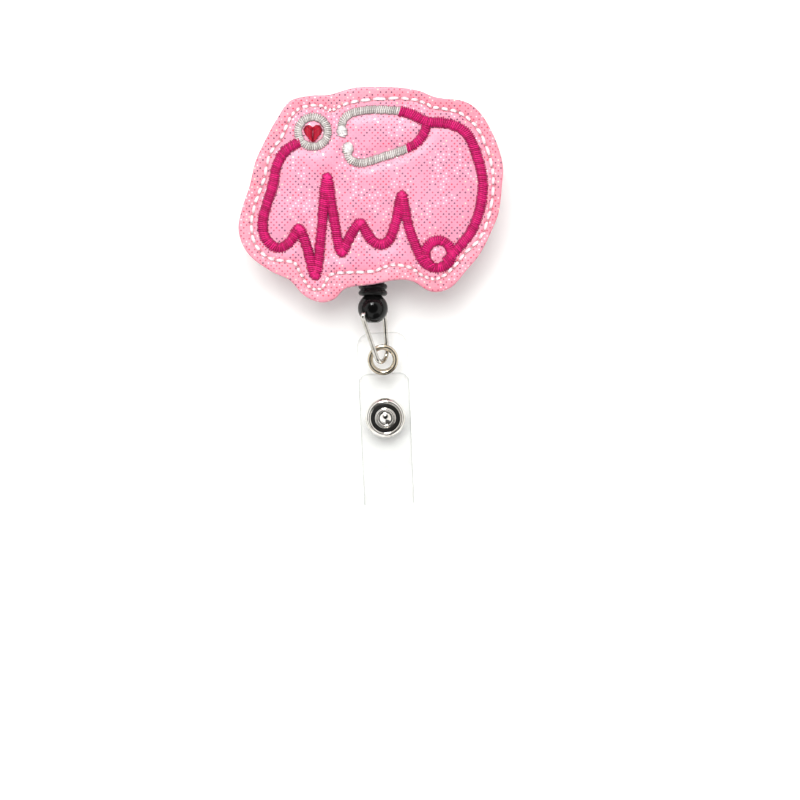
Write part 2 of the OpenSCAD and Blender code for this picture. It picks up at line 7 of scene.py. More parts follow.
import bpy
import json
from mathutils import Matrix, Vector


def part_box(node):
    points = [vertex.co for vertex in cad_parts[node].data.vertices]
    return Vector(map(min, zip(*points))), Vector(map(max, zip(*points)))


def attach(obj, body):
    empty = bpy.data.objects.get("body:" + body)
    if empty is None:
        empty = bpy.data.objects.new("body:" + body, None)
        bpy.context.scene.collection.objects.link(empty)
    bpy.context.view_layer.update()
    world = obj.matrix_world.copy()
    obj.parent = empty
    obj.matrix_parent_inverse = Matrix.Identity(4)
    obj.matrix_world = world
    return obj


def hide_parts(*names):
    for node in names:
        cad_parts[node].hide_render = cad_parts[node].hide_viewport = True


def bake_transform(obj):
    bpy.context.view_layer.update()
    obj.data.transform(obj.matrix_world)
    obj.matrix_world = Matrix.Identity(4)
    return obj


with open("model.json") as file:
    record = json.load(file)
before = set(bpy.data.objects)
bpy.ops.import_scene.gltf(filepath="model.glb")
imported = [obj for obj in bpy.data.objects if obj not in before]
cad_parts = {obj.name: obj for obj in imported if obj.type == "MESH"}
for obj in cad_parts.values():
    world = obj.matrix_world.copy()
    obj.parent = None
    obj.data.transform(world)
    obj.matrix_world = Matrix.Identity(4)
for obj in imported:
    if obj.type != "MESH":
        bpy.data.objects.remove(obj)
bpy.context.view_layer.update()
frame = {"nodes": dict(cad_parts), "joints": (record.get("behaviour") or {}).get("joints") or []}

import json
import math
import random

import bmesh
import bpy
import numpy as np
from mathutils import Vector
from mathutils.geometry import delaunay_2d_cdt

MM = 0.001


def srgb(*channels):
    """Linear colour from 0-255 sRGB channels."""
    def linear(c):
        c = c / 255.0
        return c / 12.92 if c <= 0.04045 else ((c + 0.055) / 1.055) ** 2.4
    return (*map(linear, channels), 1.0)


# ---------------------------------------------------------------- node helpers
class Nodes:
    """Builds a node tree. A value may be a number, a tuple or another node's output."""

    def __init__(self, tree):
        self.tree = tree
        tree.nodes.clear()

    def put(self, socket, value):
        if hasattr(value, "is_output"):
            self.tree.links.new(value, socket)
        else:
            socket.default_value = value

    def node(self, kind, inputs=None, **props):
        node = self.tree.nodes.new("ShaderNode" + kind)
        for key, value in props.items():
            setattr(node, key, value)
        for key, value in (inputs or {}).items():
            self.put(node.inputs[key], value)
        return node

    def math(self, operation, a, b=0.0, c=None, clamp=False):
        node = self.node("Math", {0: a, 1: b}, operation=operation, use_clamp=clamp)
        if c is not None:
            self.put(node.inputs[2], c)
        return node.outputs[0]

    def add(self, a, b, clamp=False):
        return self.math("ADD", a, b, clamp=clamp)

    def sub(self, a, b):
        return self.math("SUBTRACT", a, b)

    def mul(self, a, b):
        return self.math("MULTIPLY", a, b)

    def highest(self, values):
        top = values[0]
        for value in values[1:]:
            top = self.math("MAXIMUM", top, value)
        return top

    def vary(self, base, noise, amount, clamp=False):
        """The base value, moved up and down by a noise centred on 0.5."""
        return self.add(base, self.mul(self.sub(noise, 0.5), amount), clamp)

    def mix(self, factor, a, b):
        # sockets 6, 7 and output 2 are the colour ones
        return self.node("Mix", {0: factor, 6: a, 7: b}, data_type="RGBA").outputs[2]

    def tint(self, base, mask, amount, colour):
        return self.mix(self.mul(mask, amount), base, colour)

    def ramp(self, value, low, high, start=0.0, end=1.0):
        """Smooth step from start (at low) to end (at high)."""
        return self.node("MapRange", {0: value, 1: low, 2: high, 3: start, 4: end},
                         interpolation_type="SMOOTHSTEP").outputs[0]

    def xyz(self, vector):
        return self.node("SeparateXYZ", {0: vector}).outputs


class Material(Nodes):
    """The node tree of one new material."""

    def __init__(self, name):
        self.material = bpy.data.materials.new(name)
        self.material.use_nodes = True
        super().__init__(self.material.node_tree)
        self.place = self.node("TexCoord").outputs["Object"]

    def noise(self, scale, detail=3.0, rough=0.5, vector=None):
        return self.node("TexNoise", {"Scale": scale, "Detail": detail, "Roughness": rough,
                                      "Vector": vector or self.place}).outputs[0]

    def mapped(self, scale, turn=0.0):
        """Object coordinates, stretched and turned about Z."""
        return self.node("Mapping", {"Vector": self.place, "Scale": scale,
                                     "Rotation": (0, 0, turn)}).outputs[0]

    def attribute(self, name):
        return self.node("Attribute", attribute_name=name).outputs["Fac"]

    def bump(self, height, strength, distance, normal=None):
        node = self.node("Bump", {"Height": height, "Strength": strength, "Distance": distance})
        if normal is not None:
            self.put(node.inputs["Normal"], normal)
        return node.outputs[0]

    def principled(self, **inputs):
        named = {key.replace("_", " "): value for key, value in inputs.items()}
        return self.node("BsdfPrincipled", named)

    def mix_shader(self, factor, a, b):
        return self.node("MixShader", {0: factor, 1: a.outputs[0], 2: b.outputs[0]})

    def finish(self, shader):
        self.node("OutputMaterial", {0: shader.outputs[0]})
        return self.material


# ---------------------------------------------------------------- materials
def metal(name, colour, tarnish, rough, grain=(1, 1, 1), bump=0.12, vary=0.22, rim=0.0):
    """Metal with tarnish patches and stretched scratches, and painted shade that greys faces turning
    away from the view.
    """
    t = Material(name)
    patches = t.noise(scale=420, detail=4, rough=0.6)
    fine = t.noise(scale=5200, detail=2)
    scratches = t.noise(scale=1.0, detail=5, rough=0.7, vector=t.mapped([900 * g for g in grain]))
    shade = t.mix(t.ramp(patches, 0.42, 0.68), colour, tarnish)
    if rim:
        # painted shade: faces seen edge-on are mixed towards dark grey
        facing = t.node("LayerWeight", {"Blend": 0.5}).outputs["Facing"]
        shade = t.tint(shade, t.ramp(facing, 0.42, 0.80), rim, srgb(84, 80, 76))
    roughness = t.vary(t.vary(rough, scratches, vary), fine, 0.08, clamp=True)
    return t.finish(t.principled(
        Base_Color=shade, Metallic=1.0, Roughness=roughness,
        Normal=t.bump(scratches, strength=bump, distance=0.00003)))


def plastic(name, colour, patch_colour, rough, coat=0.0, bump=0.10, specular=0.5):
    """Moulded plastic with faint patches and duller specks of dust."""
    t = Material(name)
    patches = t.noise(scale=260, detail=4, rough=0.6)
    fine = t.noise(scale=2600, rough=0.6)
    dust = t.ramp(t.noise(scale=1900, detail=5, rough=0.75), 0.66, 0.78)
    roughness = t.add(t.vary(rough, patches, 0.16), t.mul(dust, 0.12), clamp=True)
    return t.finish(t.principled(
        Base_Color=t.mix(t.ramp(patches, 0.35, 0.7), colour, patch_colour),
        Roughness=roughness, Coat_Weight=coat, Coat_Roughness=0.06,
        Specular_IOR_Level=specular, Normal=t.bump(fine, strength=bump, distance=0.00003)))


def thread(name, low, high, dark):
    """Satin thread: each strand its own tone, a two-ply twist drawn as bumps and as painted light
    and shade stripes, and painted shade towards the ends.
    """
    t = Material(name)
    strand = t.node("NewGeometry").outputs["Random Per Island"]
    u, v, _ = t.xyz(t.node("UVMap", uv_map="UV").outputs[0])
    wave = t.math("SINE", t.mul(t.add(u, v), 6.2832))
    twist = t.math("MULTIPLY_ADD", wave, 0.5, 0.5)
    fibre = t.noise(scale=9000, rough=0.7)
    # painted light and shade: the ply twist stripes the colour, besides its bump
    shade = t.add(t.mul(strand, 0.68), t.mul(twist, 0.32))
    shade = t.add(t.mul(shade, 0.8), t.mul(fibre, 0.2))
    # painted shade: the colour darkens towards the strand ends and over the cushions
    ends = t.ramp(t.attribute("end"), 0.45, 1.0, 0.0, 0.62)
    ply_bump = t.bump(twist, strength=0.5, distance=0.00005)
    return t.finish(t.principled(
        Base_Color=t.mix(ends, t.mix(shade, low, high), dark), Roughness=0.42,
        Sheen_Weight=0.04, Specular_IOR_Level=0.32, Sheen_Roughness=0.35,
        Normal=t.bump(fibre, strength=0.3, distance=0.00003, normal=ply_bump)))


def vinyl_face():
    """Pink vinyl with a fine diamond lattice of foil dots, some of them given a painted glint."""
    t = Material("face_vinyl")
    pitch_x, pitch_y = 1.15, 1.14   # mm between the dots of one lattice
    x, y, _ = t.xyz(t.place)
    x, y = t.mul(x, 1000.0), t.mul(y, 1000.0)
    fine = t.noise(scale=5200, rough=0.7)
    base = t.mix(t.ramp(t.noise(scale=85, rough=0.55), 0.38, 0.62),
                 srgb(236, 142, 160), srgb(240, 156, 174))
    # painted sheen: a lighter lilac tint over the vinyl inside the seam
    base = t.tint(base, t.attribute("inner"), 0.5, srgb(238, 160, 192))
    base = t.mix(t.ramp(fine, 0.45, 0.75, 0, 0.35), base, srgb(214, 118, 140))
    # dots only print where the face is nearly level
    level = t.ramp(t.xyz(t.node("NewGeometry").outputs["Normal"])[2], 0.35, 0.75)
    sparkles, dots = [], []
    # two square lattices, half a pitch apart, make the diamonds
    for k, shift in enumerate((0, 0.5)):
        u = t.add(t.math("DIVIDE", x, pitch_x), shift)
        v = t.add(t.math("DIVIDE", y, pitch_y), shift)
        column, row = t.math("FLOOR", u), t.math("FLOOR", v)
        dx = t.mul(t.sub(t.sub(u, column), 0.5), pitch_x)
        dy = t.mul(t.sub(t.sub(v, row), 0.5), pitch_y)
        distance = t.math("SQRT", t.add(t.mul(dx, dx), t.mul(dy, dy)))
        dot = t.mul(t.ramp(distance, 0.145, 0.215, 1.0, 0.0), level)
        small_dot = t.mul(t.ramp(distance, 0.125, 0.20, 1.0, 0.0), level)
        cell = t.node("CombineXYZ", {0: column, 1: row, 2: 3.7 * k + 0.3}).outputs[0]
        # each dot's own random number picks its kind
        pick = t.node("TexWhiteNoise", {"Vector": cell}).outputs[0]
        patch = t.noise(scale=140, detail=2)
        spark_limit = t.add(0.50, t.mul(t.ramp(patch, 0.40, 0.60), 0.30))
        red = t.mul(dot, t.math("LESS_THAN", pick, 0.50))
        dark = t.mul(dot, t.math("GREATER_THAN", t.vary(pick, patch, -0.5), 0.80))
        # sparkling dots: a painted glint, a pale colour here and a faint glow below
        spark = t.mul(small_dot, t.mul(t.math("GREATER_THAN", pick, 0.46),
                                       t.math("LESS_THAN", pick, spark_limit)))
        hot = t.mul(dot, t.math("LESS_THAN", pick, 0.06))
        spark_colour = t.mix(t.ramp(patch, 0.45, 0.55), srgb(255, 238, 206), srgb(252, 232, 250))
        for mask, amount, colour in ((red, 0.85, srgb(198, 76, 106)), (hot, 0.75, srgb(226, 62, 86)),
                                     (dark, 0.95, srgb(92, 52, 82)), (spark, 0.9, spark_colour)):
            base = t.tint(base, mask, amount, colour)
        sparkles.append(spark)
        dots.append(dot)
    sparkle, dot = t.highest(sparkles), t.highest(dots)
    base = t.tint(base, t.attribute("pit"), 0.85, srgb(200, 52, 90))
    fine_bump = t.bump(fine, strength=0.25, distance=0.00005)
    # the sparkling dots' emission is a painted glint
    return t.finish(t.principled(
        Base_Color=base, Roughness=t.sub(0.42, t.mul(dot, 0.2)), Metallic=t.mul(sparkle, 0.35),
        Coat_Weight=0.12, Coat_Roughness=0.22,
        Emission_Color=srgb(255, 246, 226), Emission_Strength=t.mul(sparkle, 0.26),
        Normal=t.bump(dot, strength=0.35, distance=0.00004, normal=fine_bump)))


def felt(name, colour, pale, hollow_shade_colour):
    """Pressed felt: short matted fibres lying every way, with painted highlight paling them where
    they stand up and painted shade in the hollows.
    """
    t = Material(name)
    mat_noise = t.noise(scale=1500, detail=6, rough=0.75)
    patches = t.noise(scale=210, detail=4, rough=0.6)
    hollow_shade = t.ramp(t.noise(scale=520, detail=2), 0.4, 0.62)
    fibres = []
    for k, (scale_x, scale_y) in enumerate(((2600, 420), (420, 2600), (1500, 1500))):
        vector = t.mapped((scale_x, scale_y, 900), turn=0.5 + 0.9 * k)
        fibres.append(t.ramp(t.noise(scale=1.0, rough=0.6, vector=vector), 0.5, 0.66))
    fibre = t.highest(fibres)
    base = t.mix(t.add(t.mul(mat_noise, 0.6), t.mul(patches, 0.4)), colour, pale)
    # painted shade in the hollows
    base = t.tint(base, hollow_shade, 0.45, hollow_shade_colour)
    mat_bump = t.bump(mat_noise, strength=0.6, distance=0.00012)
    return t.finish(t.principled(
        # painted highlight: standing fibres are mixed towards the pale colour
        Base_Color=t.tint(base, fibre, 0.5, pale), Roughness=0.88, Sheen_Weight=0.35,
        Normal=t.bump(fibre, strength=0.8, distance=0.00016, normal=mat_bump)))


def clear_vinyl():
    """Thin clear film: mostly see-through, with painted shade along its cut edge."""
    t = Material("clear_vinyl")
    haze = t.noise(scale=160, detail=4, rough=0.6)
    fresnel = t.node("LayerWeight", {"Blend": 0.28}).outputs["Fresnel"]
    tint = t.mix(t.ramp(haze, 0.35, 0.7), (0.988, 0.988, 0.987, 1), (0.966, 0.967, 0.966, 1))
    # painted shade: the film greys towards its cut edge
    tint = t.tint(tint, t.attribute("rim"), 0.62, (0.80, 0.80, 0.795, 1))
    # only the camera sees tint and gloss, so the film casts no shadow
    seen = t.node("LightPath").outputs["Is Camera Ray"]
    film = t.node("BsdfTransparent", {0: t.mix(seen, (1, 1, 1, 1), tint)})
    gloss = t.node("BsdfGlossy", {
        "Color": (1, 1, 1, 1), "Roughness": t.add(0.09, t.mul(haze, 0.12)),
        "Normal": t.bump(t.noise(scale=95), strength=0.22, distance=0.0004)})
    amount = t.mul(t.math("MULTIPLY", fresnel, 0.55, clamp=True), seen)
    return t.finish(t.mix_shader(amount, film, gloss))


def cord_braid():
    t = Material("cord_braid")
    fibre = t.noise(scale=7000, detail=4, rough=0.7)
    return t.finish(t.principled(
        Base_Color=t.mix(fibre, srgb(14, 14, 15), srgb(46, 45, 46)), Roughness=0.7,
        Sheen_Weight=0.3, Normal=t.bump(fibre, strength=0.5, distance=0.00004)))


def floor_white():
    """White floor that cannot be seen from below and lets light from below through."""
    t = Material("floor_white")
    paint = t.principled(
        Base_Color=t.mix(t.noise(scale=900, rough=0.6),
                         (0.915, 0.925, 0.90, 1), (0.93, 0.94, 0.915, 1)),
        Roughness=0.75, Specular_IOR_Level=0.1,
        Emission_Color=(1, 1, 1, 1), Emission_Strength=0.14)
    through = t.math("MAXIMUM", t.node("NewGeometry").outputs["Backfacing"],
                     t.node("LightPath").outputs["Is Shadow Ray"])
    return t.finish(t.mix_shader(through, paint, t.node("BsdfTransparent")))


# ---------------------------------------------------------------- curve helpers
def unit(vectors):
    return vectors / (np.linalg.norm(vectors, axis=-1, keepdims=True) + 1e-12)


def catmull(points, steps, closed=False):
    """Catmull-Rom curve with a number of steps between neighbouring points."""
    p = [np.array(q, float) for q in points]
    n = len(p)
    out = []
    for i in range(n if closed else n - 1):
        a = p[(i - 1) % n] if closed else p[max(i - 1, 0)]
        b, c = p[i], p[(i + 1) % n]
        d = p[(i + 2) % n] if closed else p[min(i + 2, n - 1)]
        for j in range(steps):
            t = j / steps
            out.append(0.5 * (2 * b + (c - a) * t + (2 * a - 5 * b + 4 * c - d) * t * t
                              + (3 * b - a - 3 * c + d) * t ** 3))
    if not closed:
        out.append(p[-1])
    return np.array(out)


def resample(path, step, closed=False):
    """Evenly spaced points along a path, about one step apart."""
    if closed:
        path = np.vstack([path, path[:1]])
    along = np.r_[0, np.cumsum(np.linalg.norm(np.diff(path, axis=0), axis=1))]
    count = max(2, int(round(along[-1] / step)))
    places = np.linspace(0, along[-1], count, endpoint=not closed)
    return np.array([np.interp(places, along, column) for column in path.T]).T


def left_of(tangents):
    return np.c_[-tangents[:, 1], tangents[:, 0]]


def directions(path, closed=False):
    """Unit tangents of a flat path and the normals to their left."""
    if closed:
        tangents = unit(np.roll(path, -1, 0) - np.roll(path, 1, 0))
    else:
        tangents = unit(np.gradient(path, axis=0))
    return tangents, left_of(tangents)


def circle(centre, radius, count):
    return np.array([(centre[0] + radius * math.cos(a), centre[1] + radius * math.sin(a))
                     for a in np.linspace(0, 2 * math.pi, count, endpoint=False)])


def inside(polygon, points):
    """Which points lie inside the polygon, by counting edge crossings."""
    x, y = points[:, 0], points[:, 1]
    result = np.zeros(len(points), bool)
    for (x0, y0), (x1, y1) in zip(polygon, np.roll(polygon, 1, 0)):
        result ^= ((y0 > y) != (y1 > y)) & (x < (x1 - x0) * (y - y0) / (y1 - y0 + 1e-15) + x0)
    return result


def near(points, cloud):
    """Distance from each point to the nearest of the cloud, in blocks to save memory."""
    out = np.empty(len(points))
    for i in range(0, len(points), 1500):
        gap = points[i:i + 1500, None, :] - cloud[None]
        out[i:i + 1500] = np.sqrt((gap ** 2).sum(2).min(1))
    return out


# ---------------------------------------------------------------- mesh helpers
def make(name, verts, faces, material, smooth=True, uvs=None):
    """An object from vertices in metres; uvs holds one pair per vertex."""
    mesh = bpy.data.meshes.new(name)
    mesh.from_pydata([tuple(v) for v in verts], [], faces)
    mesh.validate()
    mesh.materials.append(material)
    if smooth:
        mesh.polygons.foreach_set("use_smooth", [True] * len(mesh.polygons))
    if uvs is not None:
        layer = mesh.uv_layers.new(name="UV")
        index = np.zeros(len(mesh.loops), int)
        mesh.loops.foreach_get("vertex_index", index)
        layer.data.foreach_set("uv", np.asarray(uvs, np.float32)[index].ravel())
    mesh.update()
    ob = bpy.data.objects.new(name, mesh)
    bpy.context.scene.collection.objects.link(ob)
    return ob


def attribute(ob, name, values):
    layer = ob.data.attributes.new(name, "FLOAT", "POINT")
    layer.data.foreach_set("value", np.asarray(values, np.float32))


def fit(ob, body, slot, *cad_nodes):
    """Parents an object to its body's empty and hides the CAD nodes it stands for."""
    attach(ob, body)
    if cad_nodes:
        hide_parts(*cad_nodes)


def slab(name, top, bottom, triangles, material, smooth=True):
    """A sheet: triangles over the top points, again below, and a wall round each boundary."""
    n = len(top)
    faces = triangles + [tuple(i + n for i in tri)[::-1] for tri in triangles]
    edges = {edge: 1 for tri in triangles for edge in zip(tri, tri[1:] + tri[:1])}
    faces += [(b, a, a + n, b + n) for a, b in edges if (b, a) not in edges]
    return make(name, np.vstack([top, bottom]) * MM, faces, material, smooth)


def tube_faces(start, rings, sides):
    faces = []
    for a in range(start, start + (rings - 1) * sides, sides):
        for j in range(sides):
            k = (j + 1) % sides
            faces.append((a + j, a + k, a + sides + k, a + sides + j))
    last = start + (rings - 1) * sides
    faces.append(tuple(range(start, start + sides))[::-1])
    faces.append(tuple(range(last, last + sides)))
    return faces


class Soup:
    """Collects many small tubes and pads into one mesh."""

    def __init__(self):
        self.verts, self.faces, self.uvs, self.ends = [], [], [], []

    def point(self, place, uv, end):
        self.verts.append(place)
        self.uvs.append(uv)
        self.ends.append(end)

    def tube(self, path, radius, sides=6, ends=False):
        """A tube; with ends, the "end" attribute rises from 0 mid-way to 1 at both ends."""
        turn_length = 0.55   # mm of tube to one unit of u
        path = np.asarray(path, float)
        start, count = len(self.verts), len(path)
        tangents = unit(np.gradient(path, axis=0))
        up = np.array([0, 0, 1.0]) if abs(tangents[0][2]) < 0.9 else np.array([1.0, 0, 0])
        lengths = np.linalg.norm(np.diff(path, axis=0), axis=1)
        u = np.r_[0, np.cumsum(lengths)] / turn_length
        for i in range(count):
            side = unit(np.cross(tangents[i], up))
            up = np.cross(side, tangents[i])
            end = abs(2 * i / (count - 1) - 1) if ends else 0.0
            for j in range(sides):
                a = 2 * math.pi * j / sides
                self.point(path[i] + radius * (math.cos(a) * side + math.sin(a) * up),
                           (u[i], j / sides), end)
        self.faces += tube_faces(start, count, sides)

    def object(self, name, material):
        ob = make(name, np.array(self.verts) * MM, self.faces, material, uvs=self.uvs)
        attribute(ob, "end", self.ends)
        return ob


# ---------------------------------------------------------------- measures from the frame, mm
JOINTS = {joint["name"]: joint for joint in frame["joints"]}
LINK_JOINT = np.array(JOINTS["link_swing"]["pos_m"]) / MM
LINK_AXIS = unit(np.array(JOINTS["link_swing"]["axis"]))
STRAP_JOINT = np.array(JOINTS["strap_swing"]["pos_m"]) / MM
CORD_Z = LINK_JOINT[2]
face_low, face_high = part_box("topper_face")
FACE_BOTTOM, FACE_TOP = face_low.z / MM, face_high.z / MM
BACKING_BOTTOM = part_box("topper_backing")[0].z / MM
SATIN = (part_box("satin_tube")[1].z - face_high.z) / MM   # height of the satin stitching

# ---------------------------------------------------------------- embroidery lines: x, y in mm
SEAM = [   # closed, the stitching round the edge
    [25.4, 1.5], [25, 6], [23.2, 11.5], [20.8, 15], [17.4, 17.2], [13, 17.8], [9.8, 19.3],
    [5, 19.8], [-2, 19.4], [-6.4, 18.3], [-8.8, 17.2], [-11, 18.3], [-15, 17.8], [-17.4, 15.6],
    [-19, 11.6], [-21.6, 8], [-22.8, 2.6], [-24.4, -1.8], [-25.5, -6.6], [-24.4, -11.4],
    [-21, -14.1], [-16.6, -14.6], [-15, -17.2], [-13.2, -20], [-10.6, -20.2], [-8.8, -17.2],
    [-4.4, -16.8], [0.6, -16.5], [4, -15.2], [8, -15.8], [10.8, -17.6], [13.6, -18.2],
    [16.6, -16.2], [19.4, -12.8], [22.8, -9.4], [24.6, -4.4]]
TUBE = [
    [-15.4, 10.6], [-18.3, 8.8], [-20.2, 5.4], [-20.8, 2], [-22, -2], [-23.1, -6], [-22.4, -9.8],
    [-19.6, -11.7], [-17, -10], [-15.4, -7.6], [-13.7, -11.6], [-11.9, -17.4], [-10.7, -8],
    [-9.6, 3.2], [-8.2, -5], [-6.6, -12.4], [-4.9, -9.6], [-2.6, -6.4], [-0.4, -9.8], [1.8, -11],
    [3.6, -9.8], [5, -6], [6.2, -0.6], [7.4, -6.4], [9.2, -11.4], [11, -14.8], [13.8, -15.9],
    [16.3, -14.4], [16.4, -11.6], [14.2, -10], [11.8, -11], [11.1, -13.6], [12.6, -15.7]]
RISE = [
    [15.4, -14.6], [18.4, -11.2], [20.8, -8.2], [22.6, -3.4], [23.2, 2.4], [21.8, 8.3],
    [19.6, 12.6], [15.9, 14.5], [11.4, 14.9], [8.4, 16.4], [5.9, 17.1]]
YOKE = [[11.4, 14.6], [11, 12.8], [9.5, 10.6], [7.4, 9.3]]
EAR_A = [[5.6, 17.2], [0, 17.4], [-4, 16.8], [-6.1, 15.3], [-6.5, 13.2]]
EAR_B = [[7.1, 9.1], [2.3, 7.5], [-2, 6.2], [-4.7, 7], [-5.5, 9.2]]
TIPS = ([[-6.45, 13.75], [-6.2, 11.75]], [[-5.55, 8.6], [-4.6, 10.2]])
HEART = [   # closed, about the heart's own centre
    [0, -2.0], [1.5, -0.3], [1.95, 0.7], [1.4, 1.5], [0.6, 1.6], [0, 1.0], [-0.6, 1.6],
    [-1.4, 1.5], [-1.95, 0.7], [-1.5, -0.3]]
RING_CENTRE = np.array([-12.5, 12.75])

seam = catmull(SEAM, 4, closed=True)
needle_holes = catmull(SEAM, 7, closed=True)[::3]
lines = [catmull(points, 8) for points in (TUBE, RISE, YOKE, EAR_A, EAR_B)]
tube_line, rise_line, yoke_line, ear_a_line, ear_b_line = lines
ring_line = circle(RING_CENTRE, 3.15, 59)


# ---------------------------------------------------------------- topper face
def top_outline(node):
    """The boundary loop of a CAD node's top face, in mm."""
    mesh = frame["nodes"][node].data
    top = max(v.co.z for v in mesh.vertices)
    boundary = {}
    for polygon in mesh.polygons:
        corners = [mesh.vertices[i].co for i in polygon.vertices]
        if all(abs(v.z - top) < 1e-6 for v in corners):
            keys = [(round(v.x / MM, 3), round(v.y / MM, 3)) for v in corners]
            for a, b in zip(keys, keys[1:] + keys[:1]):
                # an edge shared by two faces cancels out
                if (b, a) in boundary:
                    del boundary[(b, a)]
                else:
                    boundary[(a, b)] = 1
    following = dict(boundary)
    following = {a: b for a, b in boundary}
    start = next(iter(following))
    loop, current = [start], following[start]
    while current != start and len(loop) < 5000:
        loop.append(current)
        current = following[current]
    return np.array(loop)


def face_points(outline):
    """Mesh points: rings along the edge and the seam, needle holes, then a staggered grid."""
    _, inward = directions(outline, closed=True)
    rings = [outline + inward * d for d in (0.0, 0.05, 0.13, 0.23, 0.36, 0.7)]
    fine_seam = resample(seam, 0.32, closed=True)
    _, across = directions(fine_seam, closed=True)
    extra = [fine_seam + across * d for d in (-0.55, -0.25, 0.0, 0.25, 0.55)]
    extra.append(needle_holes)
    for k in range(6):
        a = k * math.pi / 3
        extra.append(needle_holes + 0.14 * np.array([math.cos(a), math.sin(a)]))
    pitch = 0.72
    grid_x, grid_y = np.meshgrid(np.arange(-29, 29, pitch), np.arange(-24, 24, 0.624))
    grid_x[::2] += pitch / 2
    grid = np.c_[grid_x.ravel(), grid_y.ravel()]
    grid = grid[inside(rings[-1], grid)]
    grid = grid[near(grid, rings[-1]) > 0.35]
    grid = grid[near(grid, fine_seam) > 0.8]
    rest = np.vstack([*rings[1:], *extra, grid])
    return np.vstack([outline, rest[inside(outline, rest)]])


def build_face():
    """Puffed vinyl, drawn down along the seam and under the threads, with a rounded edge."""
    edge_round = 0.34
    outline = resample(top_outline("topper_face"), 0.45, closed=True)
    x, y = outline.T
    if (x * np.roll(y, -1) - np.roll(x, -1) * y).sum() < 0:
        outline = outline[::-1]   # anticlockwise, so that left is inwards
    n = len(outline)
    border = [(i, (i + 1) % n) for i in range(n)]
    mesh = delaunay_2d_cdt([Vector(p) for p in face_points(outline)], border, [], 1, 1e-5)
    points = np.array([tuple(v) for v in mesh[0]])

    to_edge = near(points, resample(outline, 0.08, closed=True))
    threads = np.vstack([resample(line, 0.2) for line in lines] + [ring_line])
    to_thread = np.maximum(near(points, threads) - 0.9, 0)
    to_seam = near(points, resample(seam, 0.12, closed=True))
    to_hole = near(points, needle_holes)
    in_seam = inside(seam, points)
    held = np.minimum(to_seam, np.where(in_seam, to_thread, 9))
    puff = np.where(in_seam, 0.30, 0.16) * (1 - np.exp(-(held / 1.25) ** 2)) - 0.10
    puff -= 0.16 * np.exp(-(to_hole / 0.22) ** 2)
    puff *= np.clip(to_edge / 0.6, 0, 1)
    waves = np.array([0.05 * math.sin(0.55 * x + 0.3 * y) * math.sin(0.41 * y - 0.22 * x)
                      for x, y in points])
    z = FACE_TOP + puff + waves * np.clip(to_edge / 1.5, 0, 1)
    r = np.clip(edge_round - to_edge, 0, edge_round)
    z = z - (edge_round - np.sqrt(np.maximum(edge_round ** 2 - r ** 2, 0)))

    face = slab("topper_vinyl", np.c_[points, z],
                np.c_[points, np.full(len(points), FACE_BOTTOM + 0.01)],
                [tuple(f) for f in mesh[2]], vinyl_face())
    pit = np.exp(-(to_hole / 0.42) ** 2)
    # painted sheen, rising away from the seam on its inner side
    inner = np.clip(to_seam / 1.5, 0, 1) * in_seam
    attribute(face, "pit", np.r_[pit, pit * 0])
    attribute(face, "inner", np.r_[inner, inner * 0])
    fit(face, "case", "face_vinyl", "topper_face")


build_face()

# ---------------------------------------------------------------- embroidery
NO_LIFT = np.zeros(200)   # a lift is the extra height at even steps along a line
# low and high: the range of strand tones; dark: painted shade at strand ends and on the cushions,
# and on thread_edge the pink-red colour of the lower thread
THREADS = {name: thread(name, srgb(*low), srgb(*high), srgb(*dark)) for name, low, high, dark in (
    ("thread_tube", (164, 4, 72), (255, 40, 142), (92, 2, 40)),
    ("thread_silver", (172, 163, 159), (254, 250, 246), (96, 80, 80)),
    ("thread_white", (214, 209, 209), (255, 253, 252), (160, 140, 144)),
    ("thread_heart", (128, 0, 28), (204, 4, 52), (82, 0, 18)),
    ("thread_edge", (244, 216, 224), (255, 248, 250), (214, 48, 92)))}


def lift_at(lift, i, count):
    return lift[int(i / count * len(lift))]


def fill_bends(centres, tangents):
    """Adds stations where an open path turns sharply, to keep the outer side covered."""
    places, headings = [], []
    for i in range(len(centres)):
        places.append(centres[i])
        headings.append(tangents[i])
        if i + 1 < len(centres):
            a, b = (math.atan2(t[1], t[0]) for t in tangents[i:i + 2])
            turn = (b - a + math.pi) % (2 * math.pi) - math.pi
            count = int(abs(turn) / 0.26)
            for k in range(1, count + 1):
                f = k / (count + 1)
                places.append(centres[i] * (1 - f) + centres[i + 1] * f)
                headings.append(np.array([math.cos(a + turn * f), math.sin(a + turn * f)]))
    return np.array(places), np.array(headings)


def satin(soup, path, width, height, seed, base=FACE_TOP, pitch=0.415, slant=0.16,
          closed=False, lift=NO_LIFT):
    """Strands laid side by side across a path; width is a number or a function of 0-1."""
    rnd = random.Random(seed)
    centres = resample(path, pitch, closed)
    tangents, _ = directions(centres, closed)
    if not closed:
        centres, tangents = fill_bends(centres, tangents)
    normals = left_of(tangents)
    count = len(centres)
    for i in range(count):
        half = (width(i / (count - 1)) if callable(width) else width) / 2
        right = half * (1 + rnd.uniform(-0.09, 0.11))
        left = half * (1 + rnd.uniform(-0.09, 0.11))
        skew = slant + rnd.uniform(-0.06, 0.06)
        crown = height * (1 + rnd.uniform(-0.05, 0.05)) + 0.02
        up = lift_at(lift, i, count)
        strand = []
        for u in np.linspace(-1, 1, 9):
            x, y = centres[i] + normals[i] * (u * (left if u > 0 else right)) \
                + tangents[i] * (u * skew)
            strand.append((x, y, base - 0.16 + up * (1 - abs(u) ** 6)
                           + crown * (1 - abs(u) ** 2.6) ** 0.75))
        soup.tube(strand, 0.17, ends=True)


